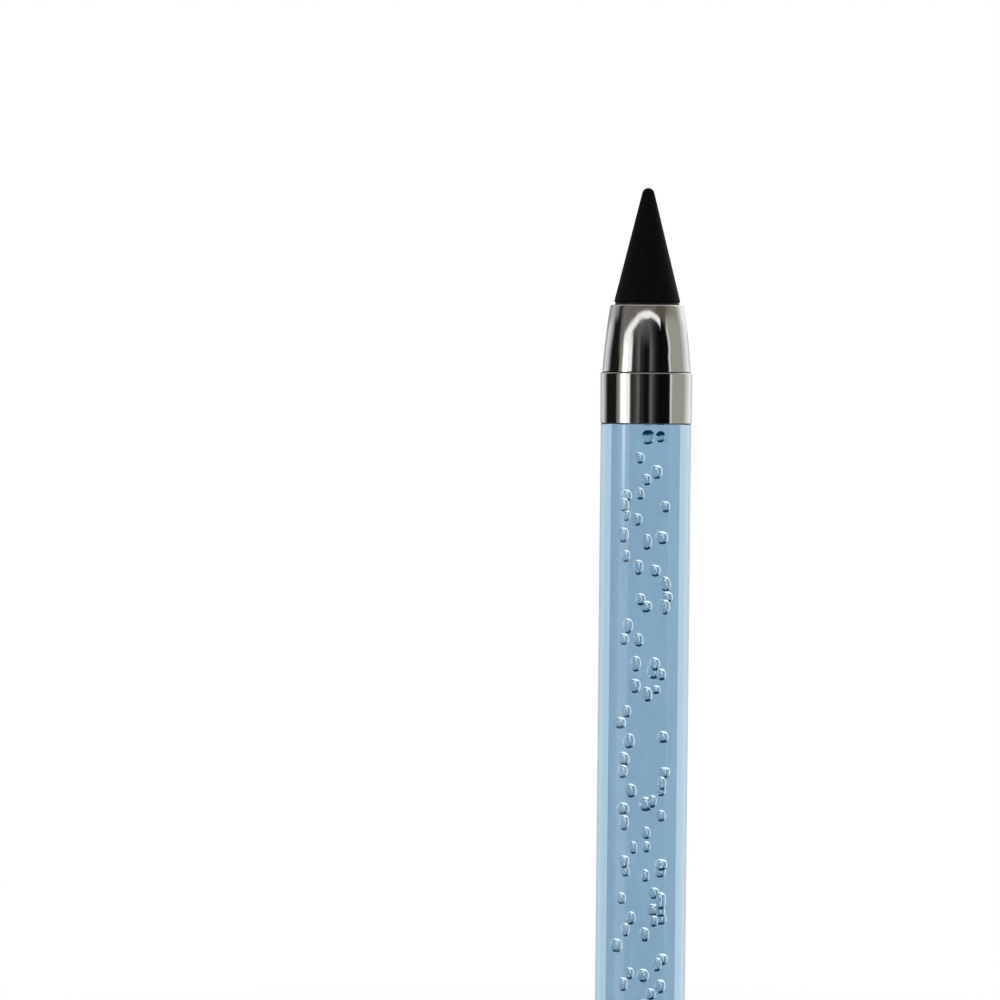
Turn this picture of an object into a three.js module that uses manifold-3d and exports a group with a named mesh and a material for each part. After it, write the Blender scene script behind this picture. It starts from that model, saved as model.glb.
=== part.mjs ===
// Inkless pencil with a screw-in nib, a chromed nose and a clear barrel cast round a tinted core.
// Millimetres, +Z up. The pencil stands on its tail: the origin is the centre of the flat tail face.
import * as THREE from 'three';
import { mergeVertices } from 'three/addons/utils/BufferGeometryUtils.js';
import Module from 'manifold-3d';

// Whole pencil and barrel
const overallLength = 150;
const barrelDiameter = 11;
const coreDiameter = 5.6;
const barrelEdge = 0.15;

// Writing cone
const nibHeight = 13.9;
const nibDiameter = 8;
const nibTipRadius = 0.76;
const nibEdgeRadius = 0.2;
const nibWall = 0.7;
const drillPointAngle = 118;

// Thread shared by the stud and the bush, and the stud that carries the cone
const threadDiameter = 4;
const studEndChamfer = 0.4;
const studRunOut = 1.6;
const studFlangeOverhang = 0.7;
const studFlangeThickness = 0.8;
const pegDiameter = 3.4;
const pegEndGap = 0.3;
const pegTeeth = 16;

// Washer between the cone and the nose
const washerThickness = 0.27;
const washerInset = 0.1;

// Nose
const noseLength = 8.2;
const noseLedge = 0.5;
const noseTopLean = 9;
const noseRimRadius = 0.3;
const noseTopWall = 1.2;
const noseStep = 0.2;
const spigotLength = 2.4;

// Threaded bush pressed into the nose
const bushWall = 1;
const bushFlangeOverhang = 0.3;
const bushFlangeThickness = 1;
const bushEntryChamfer = 0.3;
const bushTeeth = 24;
const knurlBandLength = 3;

// Collars, the same ring at both ends of the barrel
const collarLength = 6.2;
const collarWall = 1.2;
const collarProud = 0.04;
const collarFlare = 0.04;
const collarEdge = 0.15;

// End cap
const endCapLength = 3.5;
const endCapTaper = 0.12;
const endCapEdgeRadius = 0.6;

// Knurls and fits: every clearance is measured on the radius or along the axis
const knurlDepth = 0.2;
const bondGap = 0.05;
const threadClearance = 0.05;
const passClearance = 0.15;
const tenonEndGap = 0.4;

// Facets round a turned piece, and steps along each curve of its outline
const facets = 48;
const arcSteps = 4;
const tipSteps = 6;
const noseSteps = 8;

// Radii worked out from the sizes above
const barrelRadius = barrelDiameter / 2;
const coreRadius = coreDiameter / 2;
const threadRadius = threadDiameter / 2;
const passRadius = threadRadius + passClearance;
const pegRadius = pegDiameter / 2;
const studFlangeRadius = threadRadius + studFlangeOverhang;
const bushRadius = threadRadius + bushWall;
const bushFlangeRadius = bushRadius + bushFlangeOverhang;
const collarBarrelEndRadius = barrelRadius + collarProud;
const collarFarEndRadius = collarBarrelEndRadius + collarFlare;
const collarBoreRadius = collarBarrelEndRadius - collarWall;
const spigotRadius = collarBoreRadius - bondGap;
const spigotBoreRadius = bushFlangeRadius + bondGap;
const shoulderRadius = collarFarEndRadius - noseStep;
const noseTopRadius = nibDiameter / 2 + noseLedge;

// Lengths worked out from the sizes above
const bushLength = noseLength - noseTopWall;
const studReach = noseLength - studRunOut + washerThickness;
const tenonLength = collarLength - spigotLength - tenonEndGap;
const barrelLength = overallLength - nibHeight - washerThickness - noseLength - 2 * collarLength - endCapLength;

// Heights above the tail
const rearCollarTop = endCapLength + collarLength;
const barrelTop = rearCollarTop + barrelLength;
const noseFoot = barrelTop + collarLength;
const noseTop = noseFoot + noseLength;
const nibBase = noseTop + washerThickness;

const wasm = await Module();
wasm.setup();

const point = (radius, height) => new THREE.Vector2(radius, height);

// Points of a circular arc of an outline, from one angle to another in degrees
function arc(centreRadius, centreHeight, radius, fromAngle, toAngle, steps = arcSteps) {
  const points = [];
  for (let step = 0; step <= steps; step += 1) {
    const angle = THREE.MathUtils.degToRad(fromAngle + ((toAngle - fromAngle) * step) / steps);
    points.push(point(centreRadius + radius * Math.cos(angle), centreHeight + radius * Math.sin(angle)));
  }
  return points;
}

// A solid of revolution about +Z. The outline runs with its material on the left.
function turned(outline) {
  return new THREE.LatheGeometry(outline, facets).rotateX(Math.PI / 2);
}

// The same, for an outline that goes round a ring and closes on itself
function turnedRing(outline) {
  return turned([...outline, outline[0].clone()]);
}

// Outline of a straight knurl: pointed teeth between a root circle and a tip circle
function knurlShape(tipRadius, teeth) {
  const points = [];
  for (let half = 0; half < 2 * teeth; half += 1) {
    const radius = half % 2 === 0 ? tipRadius : tipRadius - knurlDepth;
    const angle = (Math.PI * half) / teeth;
    points.push(point(radius * Math.cos(angle), radius * Math.sin(angle)));
  }
  return new THREE.Shape(points);
}

function extruded(shape, bottom, height) {
  const options = { depth: height, bevelEnabled: false, curveSegments: facets };
  return new THREE.ExtrudeGeometry(shape, options).translate(0, 0, bottom);
}

// One solid from two geometries that reach into each other
function joined(first, second) {
  const solids = [first, second].map((geometry) => {
    geometry.deleteAttribute('normal');
    geometry.deleteAttribute('uv');
    const merged = mergeVertices(geometry);
    const vertProperties = new Float32Array(merged.attributes.position.array);
    const triVerts = new Uint32Array(merged.index.array);
    return new wasm.Manifold(new wasm.Mesh({ numProp: 3, vertProperties, triVerts }));
  });
  const mesh = solids[0].add(solids[1]).getMesh();
  const geometry = new THREE.BufferGeometry();
  geometry.setAttribute('position', new THREE.BufferAttribute(mesh.vertProperties, 3));
  geometry.setIndex(new THREE.BufferAttribute(mesh.triVerts, 1));
  geometry.computeVertexNormals();
  return geometry;
}

// The straight side of the cone touches the rounded tip and the rounded base edge. It is given by the
// angle at which it faces out and by its distance from the centre of the base.
function nibSide() {
  const edgeCentre = point(nibDiameter / 2 - nibEdgeRadius, nibEdgeRadius);
  const tipCentre = point(0, nibHeight - nibTipRadius);
  const between = tipCentre.clone().sub(edgeCentre);
  const outward = between.angle() - Math.acos((nibEdgeRadius - nibTipRadius) / between.length());
  const normal = point(Math.cos(outward), Math.sin(outward));
  return { edgeCentre, tipCentre, outward, normal, distance: normal.dot(edgeCentre) + nibEdgeRadius };
}

// Depth of the blind hole for the peg: where the cone still has its wall round the hole
function socketDepth(side) {
  const outerRadius = pegRadius + bondGap + nibWall;
  return (side.distance - side.normal.x * outerRadius) / side.normal.y;
}

const side = nibSide();
const socketTop = socketDepth(side);

// Writing cone, from its base up, with a stepped blind hole for the stud
function nibCone() {
  const socketRadius = pegRadius + bondGap;
  const recessRadius = studFlangeRadius + bondGap;
  const drillPoint = socketRadius / Math.tan(THREE.MathUtils.degToRad(drillPointAngle / 2));
  const sideAngle = THREE.MathUtils.radToDeg(side.outward);
  return turned([
    point(0, socketTop + drillPoint),
    point(socketRadius, socketTop),
    point(socketRadius, studFlangeThickness),
    point(recessRadius, studFlangeThickness),
    point(recessRadius, 0),
    ...arc(side.edgeCentre.x, side.edgeCentre.y, nibEdgeRadius, -90, sideAngle),
    ...arc(side.tipCentre.x, side.tipCentre.y, nibTipRadius, sideAngle, 90, tipSteps),
  ]);
}

// Stud: screw below the cone's base, flange let into the base, knurled peg up the middle of the cone
function nibStud() {
  const screwAndFlange = turned([
    point(0, -studReach),
    point(threadRadius - studEndChamfer, -studReach),
    point(threadRadius, studEndChamfer - studReach),
    point(threadRadius, 0),
    point(studFlangeRadius, 0),
    point(studFlangeRadius, studFlangeThickness),
    point(0, studFlangeThickness),
  ]);
  const pegBottom = studFlangeThickness / 2;
  const peg = extruded(knurlShape(pegRadius, pegTeeth), pegBottom, socketTop - pegEndGap - pegBottom);
  return joined(screwAndFlange, peg);
}

// Flat washer, from the nose's top face up
function nibWasher() {
  const outerRadius = nibDiameter / 2 - washerInset;
  return turnedRing([
    point(passRadius, washerThickness),
    point(passRadius, 0),
    point(outerRadius, 0),
    point(outerRadius, washerThickness),
  ]);
}

// Nose, from its foot up: an ogive outside, stepped bore for the bush, spigot into the collar
function noseCone() {
  const rimCentre = point(noseTopRadius - noseRimRadius, noseLength - noseRimRadius);
  const rim = arc(rimCentre.x, rimCentre.y, noseRimRadius, noseTopLean, 90);
  const foot = point(shoulderRadius, 0);
  const waistHeight = noseLength / 2;
  const lean = Math.tan(THREE.MathUtils.degToRad(noseTopLean));
  const waist = point(rim[0].x + (rim[0].y - waistHeight) * lean, waistHeight);
  const ogive = new THREE.QuadraticBezierCurve(foot, waist, rim[0]).getPoints(noseSteps);
  const bushBoreRadius = bushRadius + bondGap;
  return turnedRing([
    point(passRadius, noseLength),
    point(passRadius, bushLength),
    point(bushBoreRadius, bushLength),
    point(bushBoreRadius, bushFlangeThickness),
    point(spigotBoreRadius, bushFlangeThickness),
    point(spigotBoreRadius, -spigotLength),
    point(spigotRadius, -spigotLength),
    point(spigotRadius, 0),
    ...ogive,
    ...rim.slice(1),
  ]);
}

// Bush, from its flange up, with one knurled band that bites into the nose
function noseBush() {
  const boreRadius = threadRadius + threadClearance;
  const plainRadius = bushRadius - knurlDepth;
  const barrel = turnedRing([
    point(boreRadius + bushEntryChamfer, bushLength),
    point(boreRadius, bushLength - bushEntryChamfer),
    point(boreRadius, bushEntryChamfer),
    point(boreRadius + bushEntryChamfer, 0),
    point(bushFlangeRadius, 0),
    point(bushFlangeRadius, bushFlangeThickness),
    point(plainRadius, bushFlangeThickness),
    point(plainRadius, bushLength),
  ]);
  const band = knurlShape(bushRadius, bushTeeth);
  const hole = new THREE.Path().absarc(0, 0, (boreRadius + plainRadius) / 2, 0, 2 * Math.PI, true);
  band.holes.push(hole);
  const bandBottom = (bushFlangeThickness + bushLength - knurlBandLength) / 2;
  return joined(barrel, extruded(band, bandBottom, knurlBandLength));
}

// Collar, from its barrel end up, with both outer edges rounded
function collar() {
  return turnedRing([
    point(collarBoreRadius, collarLength),
    point(collarBoreRadius, 0),
    ...arc(collarBarrelEndRadius - collarEdge, collarEdge, collarEdge, -90, 0),
    ...arc(collarFarEndRadius - collarEdge, collarLength - collarEdge, collarEdge, 0, 90),
  ]);
}

// Clear outer wall of the barrel, from its lower shoulder up, with a turned-down tenon at each end
function barrelSleeve() {
  const boreRadius = coreRadius + bondGap;
  const tenonRadius = spigotRadius;
  return turnedRing([
    point(boreRadius, barrelLength + tenonLength),
    point(boreRadius, -tenonLength),
    point(tenonRadius, -tenonLength),
    point(tenonRadius, 0),
    ...arc(barrelRadius - barrelEdge, barrelEdge, barrelEdge, -90, 0),
    ...arc(barrelRadius - barrelEdge, barrelLength - barrelEdge, barrelEdge, 0, 90),
    point(tenonRadius, barrelLength),
    point(tenonRadius, barrelLength + tenonLength),
  ]);
}

// Tinted core, as long as the sleeve with its tenons
function barrelCore() {
  return turned([
    point(0, -tenonLength),
    point(coreRadius, -tenonLength),
    point(coreRadius, barrelLength + tenonLength),
    point(0, barrelLength + tenonLength),
  ]);
}

// End cap, from the flat tail face up, with the same spigot as the nose
function endCap() {
  const tailRadius = shoulderRadius - endCapTaper;
  return turned([
    point(0, 0),
    ...arc(tailRadius - endCapEdgeRadius, endCapEdgeRadius, endCapEdgeRadius, -90, 0),
    point(shoulderRadius, endCapLength),
    point(spigotRadius, endCapLength),
    point(spigotRadius, endCapLength + spigotLength),
    point(0, endCapLength + spigotLength),
  ]);
}

function graphite() {
  return new THREE.MeshStandardMaterial({ color: '#25272a', roughness: 0.85, metalness: 0.1 });
}

function blackRubber() {
  return new THREE.MeshStandardMaterial({ color: '#0c0c0d', roughness: 0.6, metalness: 0 });
}

function steel() {
  return new THREE.MeshStandardMaterial({ color: '#b9bbbd', roughness: 0.35, metalness: 1 });
}

function brass() {
  return new THREE.MeshStandardMaterial({ color: '#c9a456', roughness: 0.3, metalness: 1 });
}

function chrome() {
  return new THREE.MeshStandardMaterial({ color: '#e3e2de', roughness: 0.06, metalness: 1 });
}

function clearResin() {
  const look = { color: '#dcebf6', roughness: 0.05, metalness: 0, transparent: true, opacity: 0.3 };
  return new THREE.MeshStandardMaterial(look);
}

function tintedResin() {
  return new THREE.MeshStandardMaterial({ color: '#83a6bd', roughness: 0.2, metalness: 0 });
}

function piece(name, geometry, material, height = 0) {
  const mesh = new THREE.Mesh(geometry, material);
  mesh.name = name;
  mesh.position.z = height;
  return mesh;
}

// The nib screws out of the nose as one group
function nib() {
  const group = new THREE.Group();
  group.position.z = nibBase;
  group.add(piece('nib_cone', nibCone(), graphite()));
  group.add(piece('nib_stud', nibStud(), steel()));
  return group;
}

function nose() {
  const group = new THREE.Group();
  group.position.z = noseFoot;
  group.add(piece('nose_cone', noseCone(), chrome()));
  group.add(piece('nose_bush', noseBush(), brass()));
  return group;
}

function barrel() {
  const group = new THREE.Group();
  group.position.z = rearCollarTop;
  group.add(piece('barrel_sleeve', barrelSleeve(), clearResin()));
  group.add(piece('barrel_core', barrelCore(), tintedResin()));
  return group;
}

// The rear collar is the front one turned end for end
function collars() {
  const front = piece('front_collar', collar(), chrome(), barrelTop);
  const rear = piece('rear_collar', collar(), chrome(), rearCollarTop);
  rear.rotation.x = Math.PI;
  return [front, rear];
}

const pencil = new THREE.Group();
pencil.add(nib(), piece('nib_washer', nibWasher(), blackRubber(), noseTop), nose(), ...collars());
pencil.add(barrel(), piece('end_cap', endCap(), chrome()));

export default pencil;
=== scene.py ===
"""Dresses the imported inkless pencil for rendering.

It makes smooth turned pieces, a clear barrel with trapped air, and a pale stage with its studio light.
"""

import math
import random

import bpy
from bpy.props import FloatProperty, FloatVectorProperty, IntProperty, PointerProperty
from mathutils import Matrix, Vector


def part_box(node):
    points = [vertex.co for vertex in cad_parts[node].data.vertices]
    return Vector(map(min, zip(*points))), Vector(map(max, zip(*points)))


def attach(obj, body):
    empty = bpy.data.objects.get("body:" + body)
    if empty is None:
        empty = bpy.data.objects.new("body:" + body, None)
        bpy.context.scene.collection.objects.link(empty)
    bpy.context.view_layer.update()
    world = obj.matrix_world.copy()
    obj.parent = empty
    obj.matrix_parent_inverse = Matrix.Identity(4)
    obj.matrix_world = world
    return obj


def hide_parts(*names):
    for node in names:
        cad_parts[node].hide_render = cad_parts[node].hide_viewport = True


bl_info = {
    "name": "Inkless Pencil",
    "version": (1, 0, 0),
    "blender": (4, 5, 0),
    "location": "View3D > Sidebar > Inkless Pencil",
    "description": "Builds the pieces, finishes and stage of an inkless pencil round its packed frame",
    "category": "Object",
}

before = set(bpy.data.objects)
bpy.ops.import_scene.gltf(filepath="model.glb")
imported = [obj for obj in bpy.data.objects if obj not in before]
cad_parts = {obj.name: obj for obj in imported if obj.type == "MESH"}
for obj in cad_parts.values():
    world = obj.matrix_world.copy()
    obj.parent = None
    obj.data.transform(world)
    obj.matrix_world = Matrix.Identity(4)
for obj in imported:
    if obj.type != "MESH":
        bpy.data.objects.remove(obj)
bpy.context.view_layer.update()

MM = 0.001
SEGMENTS = 192
THREAD_ROWS = 16
SHARP_ANGLE = math.radians(32)

# An outline's long stretches, of more than six times this, get a point this far from each of their ends
BRACE = 0.04 * MM


def foot_of(node):
    """Lowest height of a frame node, in metres."""
    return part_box(node)[0][2]


def head_of(node):
    """Highest height of a frame node, in metres."""
    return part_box(node)[1][2]


def radius_of(node):
    """Outer radius of a turned frame node, in metres."""
    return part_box(node)[1][0]


# Heights and radii read from the frame
CAP_TOP = foot_of("rear_collar")
BARREL_FOOT = head_of("rear_collar")
BARREL_TOP = foot_of("front_collar")
NOSE_FOOT = head_of("front_collar")
NOSE_TOP = head_of("nose_cone")
NIB_BASE = foot_of("nib_cone")
NIB_TIP = head_of("nib_cone")
STUD_END = foot_of("nib_stud")
PEG_TOP = head_of("nib_stud")
BUSH_TOP = head_of("nose_bush")
CORE_FOOT = foot_of("barrel_core")
CORE_TOP = head_of("barrel_core")
BARREL_RADIUS = radius_of("barrel_sleeve")
CORE_RADIUS = radius_of("barrel_core")
NIB_RADIUS = radius_of("nib_cone")
WASHER_RADIUS = radius_of("nib_washer")
FLANGE_RADIUS = radius_of("nib_stud")
BUSH_FLANGE_RADIUS = radius_of("nose_bush")
COLLAR_RADIUS = radius_of("front_collar")

# Fits and edges of the real pieces
COLLAR_FLARE = 0.04 * MM
COLLAR_WALL = 1.2 * MM
COLLAR_EDGE = 0.15 * MM
COLLAR_BARREL_RADIUS = COLLAR_RADIUS - COLLAR_FLARE
COLLAR_BORE = COLLAR_BARREL_RADIUS - COLLAR_WALL
FIT_GAP = 0.05 * MM
TENON_RADIUS = COLLAR_BORE - FIT_GAP
BARREL_EDGE = 0.15 * MM
SLEEVE_BORE = CORE_RADIUS + FIT_GAP
CORE_EDGE = 0.1 * MM
SPIGOT_LENGTH = 2.4 * MM
SHOULDER_STEP = 0.2 * MM
SHOULDER_RADIUS = COLLAR_RADIUS - SHOULDER_STEP
SHOULDER_EDGE = 0.07 * MM
PASS_RADIUS = 2.15 * MM
THREAD_RADIUS = 2.0 * MM
PEG_RADIUS = 1.7 * MM
PEG_CHAMFER = 0.15 * MM
DRILL_HALF_ANGLE = math.radians(59)
STUD_CHAMFER = 0.4 * MM
STUD_NECK = 0.8 * MM
STUD_FILLET = 0.1 * MM
FLANGE_THICKNESS = 0.8 * MM
FLANGE_EDGE = 0.08 * MM
WASHER_EDGE = 0.09 * MM
BUSH_RADIUS = 3.0 * MM
BUSH_FLANGE_THICKNESS = 1.0 * MM
BUSH_ENTRY = 0.3 * MM
BUSH_EDGE = 0.05 * MM
BUSH_CHAMFER = 0.1 * MM
KNURL_DEPTH = 0.2 * MM
KNURL_BAND = 3.0 * MM
NOSE_TOP_RADIUS = 4.5 * MM
NOSE_RIM = 0.3 * MM
NOSE_LEAN = math.radians(9)
CAP_TAPER = 0.12 * MM
CAP_EDGE = 0.6 * MM
CAP_FACE_RADIUS = 2.0 * MM
NIB_TIP_RADIUS = 0.76 * MM
NIB_EDGE_RADIUS = 0.2 * MM
SOCKET_TOP = PEG_TOP + 0.3 * MM

# Rows of points for each turned mark on the cone
MARK_ROWS = 4

# The painted shade line at a seam between chromed pieces lies this far inside the end of one and is as wide
# each way
SEAM = 0.05 * MM

# How strongly the resin bends light
RESIN_IOR = 1.49


# Sizes and colours a user may change


class PencilNibSettings(bpy.types.PropertyGroup):
    """Writing cone, screw and washer."""

    graphite_colour: FloatVectorProperty(
        name="Graphite", description="Colour of the pressed graphite cone", subtype="COLOR",
        size=3, min=0, max=1, default=(0.0012, 0.0016, 0.0016))
    ring_spacing: FloatProperty(
        name="Turning Marks", description="Distance between the faint turned rings on the cone",
        default=0.26 * MM, min=0.05 * MM, unit="LENGTH", precision=5)
    ring_depth: FloatProperty(
        name="Turning Depth", description="Depth of the faint turned rings on the cone",
        default=0.004 * MM, min=0, unit="LENGTH", precision=6)
    thread_pitch: FloatProperty(
        name="Thread Pitch", description="Rise of the nib's thread in one turn",
        default=0.7 * MM, min=0.2 * MM, unit="LENGTH", precision=5)
    thread_depth: FloatProperty(
        name="Thread Depth", description="Depth of the nib's thread",
        default=0.4 * MM, min=0.05 * MM, unit="LENGTH", precision=5)
    peg_teeth: IntProperty(name="Peg Teeth", description="Teeth of the knurl on the peg", default=16, min=6)


class PencilMetalSettings(bpy.types.PropertyGroup):
    """Chromed nose, collars and end cap, and the brass bush."""

    chrome_colour: FloatVectorProperty(
        name="Chrome", description="Reflection colour of the plating", subtype="COLOR",
        size=3, min=0, max=1, default=(0.70, 0.70, 0.69))
    chrome_roughness: FloatProperty(
        name="Chrome Roughness", description="Roughness of the plating where it is clean",
        default=0.035, min=0, max=1, subtype="FACTOR")
    brass_colour: FloatVectorProperty(
        name="Brass", description="Reflection colour of the bush", subtype="COLOR",
        size=3, min=0, max=1, default=(0.78, 0.56, 0.24))
    bush_teeth: IntProperty(name="Bush Teeth", description="Teeth of the knurled band", default=24, min=6)


class PencilBarrelSettings(bpy.types.PropertyGroup):
    """Clear wall, tinted core and the air trapped in it."""

    sleeve_colour: FloatVectorProperty(
        name="Clear Wall", description="What white becomes behind the clear wall", subtype="COLOR",
        size=3, min=0, max=1, default=(0.44, 0.625, 0.77))
    core_colour: FloatVectorProperty(
        name="Core", description="Tint added by the core's two surfaces together", subtype="COLOR",
        size=3, min=0, max=1, default=(0.58, 0.685, 0.755))
    bubble_width: FloatProperty(
        name="Bubble Width", description="Mean width of a bubble",
        default=0.84 * MM, min=0.2 * MM, max=1.5 * MM, unit="LENGTH", precision=5)
    bubble_height: FloatProperty(
        name="Bubble Height", description="Mean height of a bubble",
        default=1.66 * MM, min=0.2 * MM, max=4 * MM, unit="LENGTH", precision=5)
    bubble_seed: IntProperty(
        name="Bubble Seed", description="Seed of the scattered bubbles", default=7, min=0)


class PencilStageSettings(bpy.types.PropertyGroup):
    """Floor, lamps and camera."""

    floor_colour: FloatVectorProperty(
        name="Floor", description="Colour of the floor", subtype="COLOR",
        size=3, min=0, max=1, default=(0.90, 0.90, 0.90))
    floor_radius: FloatProperty(
        name="Floor Radius", description="Radius of the floor", default=3.0, min=0.5, unit="LENGTH")
    key_power: FloatProperty(
        name="Key Lamp", description="Power of the soft lamp at the left", default=12.0, min=0, unit="POWER")
    fill_power: FloatProperty(
        name="Fill Lamp", description="Power of the soft lamp at the right", default=4.5, min=0, unit="POWER")
    ambient: FloatProperty(
        name="Room Light", description="Strength of the even light of the room", default=0.40, min=0)
    focal_length: FloatProperty(
        name="Lens", description="Focal length on a 36 mm sensor, in millimetres", default=120.42, min=20)


# Turned and wound shapes


def arc(centre_radius, centre_height, radius, start, end, steps):
    """Points of a circular arc of an outline, between two angles in degrees."""
    points = []
    for step in range(steps + 1):
        angle = math.radians(start + (end - start) * step / steps)
        points.append((centre_radius + radius * math.cos(angle), centre_height + radius * math.sin(angle)))
    return points


def rounded_wall(radius, foot, top, edge, steps):
    """Points of an upright wall from its foot to its top, with a round at both ends."""
    middle = radius - edge
    return [*arc(middle, foot + edge, edge, -90, 0, steps), *arc(middle, top - edge, edge, 0, 90, steps)]


def bowed(start, pull, end, steps):
    """Points of a curve from start to end that is drawn towards the pull point."""
    points = []
    for step in range(steps + 1):
        t = step / steps
        points.append(tuple(
            (1 - t) ** 2 * start[axis] + 2 * t * (1 - t) * pull[axis] + t * t * end[axis] for axis in (0, 1)))
    return points


def braced(outline, closed):
    """The outline with points put in near both ends of each long stretch, so that it shades true."""
    points = []
    count = len(outline)
    for index, (r, z) in enumerate(outline):
        points.append((r, z))
        if index == count - 1 and not closed:
            break
        after = outline[(index + 1) % count]
        length = math.hypot(after[0] - r, after[1] - z)
        if length > 6 * BRACE:
            for share in (BRACE / length, 1 - BRACE / length):
                points.append((r + (after[0] - r) * share, z + (after[1] - z) * share))
    return points


def piece_from(name, vertices, faces, material_of_face=None):
    """A new smooth-shaded object from vertices and faces, sharp only at its corners."""
    mesh = bpy.data.meshes.new(name)
    mesh.from_pydata(vertices, [], faces)
    mesh.validate()
    if material_of_face:
        mesh.polygons.foreach_set("material_index", material_of_face)
    mesh.shade_smooth()
    mesh.set_sharp_from_angle(angle=SHARP_ANGLE)
    mesh.update()
    piece = bpy.data.objects.new(name, mesh)
    bpy.context.scene.collection.objects.link(piece)
    return piece


def ring_points(radii, height):
    """Points of one ring. The radii run once round the axis from +X."""
    count = len(radii)
    points = []
    for index, radius in enumerate(radii):
        angle = 2 * math.pi * index / count
        points.append((radius * math.cos(angle), radius * math.sin(angle), height))
    return points


def plain_ring(height, radius):
    """A round ring: its height and its radii."""
    return height, [radius] * SEGMENTS


def wound_piece(name, rings, closed=False, linings=()):
    """A piece from rings of radii, each (height, radii), in the order that keeps material on the left.

    A closed one joins its last ring to its first. An open one starts and ends on the axis.
    linings holds (lowest radius, highest radius, material number) of the walls in other materials.
    """
    count = len(rings[0][1])
    vertices = []
    for height, radii in rings:
        vertices.extend(ring_points(radii, height))
    faces = []
    materials = []
    strips = len(rings) if closed else len(rings) - 1
    for strip in range(strips):
        following_ring = (strip + 1) % len(rings)
        low = strip * count
        high = following_ring * count
        number = lining_number(linings, rings[strip][1][0], rings[following_ring][1][0])
        for index in range(count):
            following = (index + 1) % count
            faces.append((low + index, low + following, high + following, high + index))
            materials.append(number)
    if not closed:
        for ring, order in ((0, -1), (len(rings) - 1, 1)):
            centre = len(vertices)
            vertices.append((0, 0, rings[ring][0]))
            for index in range(count):
                corner = ring * count + index
                following = ring * count + (index + 1) % count
                faces.append((corner, following, centre) if order > 0 else (following, corner, centre))
                materials.append(0)
    return piece_from(name, vertices, faces, materials)


def lining_number(linings, first, second):
    """Number of the material for the wall between two radii."""
    for lowest, highest, number in linings:
        if lowest <= min(first, second) and max(first, second) <= highest:
            return number
    return 0


def turned_piece(name, outline, linings=()):
    """A piece turned from an outline of (radius, height) points. It is a ring unless it touches the axis."""
    if all(radius > 0 for radius, _ in outline):
        rings = [plain_ring(height, radius) for radius, height in braced(outline, True)]
        return wound_piece(name, rings, closed=True, linings=linings)
    outline = braced(outline, False)
    vertices = []
    starts = []
    for radius, height in outline:
        starts.append(len(vertices))
        vertices.extend([(0, 0, height)] if radius <= 0 else ring_points([radius] * SEGMENTS, height))
    faces = []
    for here in range(len(outline) - 1):
        low, high = starts[here], starts[here + 1]
        for index in range(SEGMENTS):
            following = (index + 1) % SEGMENTS
            if outline[here][0] <= 0:
                faces.append((low, high + following, high + index))
            elif outline[here + 1][0] <= 0:
                faces.append((low + index, low + following, high))
            else:
                faces.append((low + index, low + following, high + following, high + index))
    return piece_from(name, vertices, faces)


def thread_radii(height, pitch, depth, crest):
    """Radii of a right-hand thread at one height, once round the axis."""
    crest_half = 1 / 16
    flank = 5 / 16
    radii = []
    for index in range(SEGMENTS):
        away = abs((height / pitch - index / SEGMENTS) % 1 - 0.5)
        fall = min(max((away - crest_half) / flank, 0), 1)
        radii.append(crest - depth * fall)
    return radii


def knurl_radii(teeth, tip):
    """Radii of a straight knurl, once round the axis."""
    radii = []
    for index in range(SEGMENTS):
        away = abs((index / SEGMENTS * teeth) % 1 - 0.5) * 2
        radii.append(tip - KNURL_DEPTH * (1 - away))
    return radii


# Finishes


def grey(value):
    """A neutral colour."""
    return (value, value, value)


def times(factor, colour):
    """The colour made darker or lighter by a factor."""
    return tuple(factor * value for value in colour)


def one_face(colour):
    """The tint of one of two surfaces that give the colour together."""
    return tuple(math.sqrt(value) for value in colour)


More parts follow.
